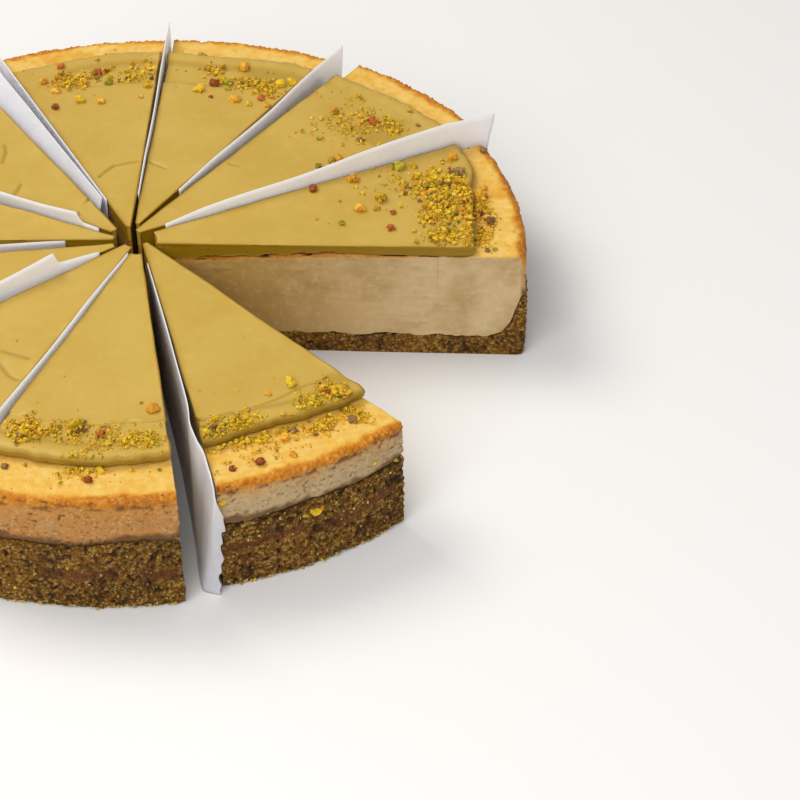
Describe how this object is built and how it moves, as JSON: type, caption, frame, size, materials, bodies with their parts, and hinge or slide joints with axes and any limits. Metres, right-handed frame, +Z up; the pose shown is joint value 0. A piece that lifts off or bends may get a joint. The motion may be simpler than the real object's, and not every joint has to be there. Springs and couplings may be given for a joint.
{
  "type": "baked cheesecake",
  "caption": "Round baked cheesecake cut in wedges with paper dividers between them, a crumb crust, golden rim, pistachio cream top and an open sector.",
  "frame": {"origin": "middle of the bounding box, at the height of the surface that the cake stands on", "axes": "+Z up out of the cake's top, -Y towards the two front slices, and +X towards the open sector"},
  "size_m": [0.2604, 0.2624, 0.0521],
  "materials": {
    "crust": "coarse brown crumb with green and yellow nut specks, matt and dry",
    "filling": "baked cream cheese, pale beige at the cuts, with a golden rim and a tan side",
    "topping": "smooth poured pistachio cream, olive mustard with a soft sheen",
    "paper": "cool white baking paper, smooth and slightly see-through"
  },
  "bodies": {
    "root": {"slice_01_crust": "crust", "slice_01_filling": "filling", "slice_01_topping": "topping", "slice_02_crust": "crust", "slice_02_filling": "filling", "slice_02_topping": "topping", "slice_03_crust": "crust", "slice_03_filling": "filling", "slice_03_topping": "topping", "slice_04_crust": "crust", "slice_04_filling": "filling", "slice_04_topping": "topping", "slice_05_crust": "crust", "slice_05_filling": "filling", "slice_05_topping": "topping", "slice_06_crust": "crust", "slice_06_filling": "filling", "slice_06_topping": "topping", "slice_07_crust": "crust", "slice_07_filling": "filling", "slice_07_topping": "topping", "slice_08_crust": "crust", "slice_08_filling": "filling", "slice_08_topping": "topping", "slice_09_crust": "crust", "slice_09_filling": "filling", "slice_09_topping": "topping", "slice_10_crust": "crust", "slice_10_filling": "filling", "slice_10_topping": "topping", "paper_01_02": "paper", "paper_02_03": "paper", "paper_03_04": "paper", "paper_04_05": "paper", "paper_05_06": "paper", "paper_06_07": "paper", "paper_07_08": "paper", "paper_08_09": "paper", "paper_09_10": "paper"}
  },
  "joints": []
}
